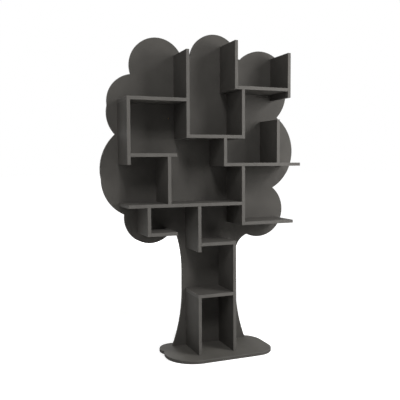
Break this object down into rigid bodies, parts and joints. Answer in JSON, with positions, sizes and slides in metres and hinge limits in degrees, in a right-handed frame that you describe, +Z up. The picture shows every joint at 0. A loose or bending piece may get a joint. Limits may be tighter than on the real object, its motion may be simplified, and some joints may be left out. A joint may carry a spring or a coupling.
{
  "type": "tree bookcase",
  "caption": "Free-standing bookcase: a rounded tree silhouette panel on a flat oval-cornered base plate, carrying staggered branch-like shelves and uprights.",
  "frame": {"origin": "on the floor, at the middle of the whole width and of the whole depth", "axes": "+Z up, +Y from the open front towards the wall, +X to the right as seen from the front"},
  "size_m": [1.0498, 0.312, 1.5998],
  "materials": {
    "lacquered_board": "dark grey satin lacquer on fibreboard",
    "block_board": "dark grey satin lacquer on fibreboard",
    "dowel_wood": "bare beech",
    "screw_steel": "zinc plated steel"
  },
  "bodies": {
    "root": {"tree_panel": "lacquered_board", "base_plate": "lacquered_board", "upright_far_left": "lacquered_board", "upright_lower_left": "lacquered_board", "upright_mid_left": "lacquered_board", "upright_crown_left": "lacquered_board", "upright_trunk_left": "lacquered_board", "upright_trunk_head": "lacquered_board", "upright_centre": "lacquered_board", "upright_trunk_right": "lacquered_board", "upright_crown_right": "lacquered_board", "upright_inner_upper": "lacquered_board", "upright_inner_lower": "lacquered_board", "upright_right": "lacquered_board", "upright_top_right": "lacquered_board", "shelf_trunk_low": "lacquered_board", "shelf_trunk_top": "lacquered_board", "shelf_lower_left": "lacquered_board", "shelf_lower_right": "lacquered_board", "shelf_long": "lacquered_board", "shelf_right": "lacquered_board", "shelf_mid_left": "lacquered_board", "shelf_crown": "lacquered_board", "shelf_upper_left": "lacquered_board", "shelf_top_right": "lacquered_board", "dowels": "dowel_wood", "panel_screws": "screw_steel", "base_screws": "screw_steel", "wall_blocks": "block_board", "block_screws": "screw_steel"}
  },
  "joints": []
}
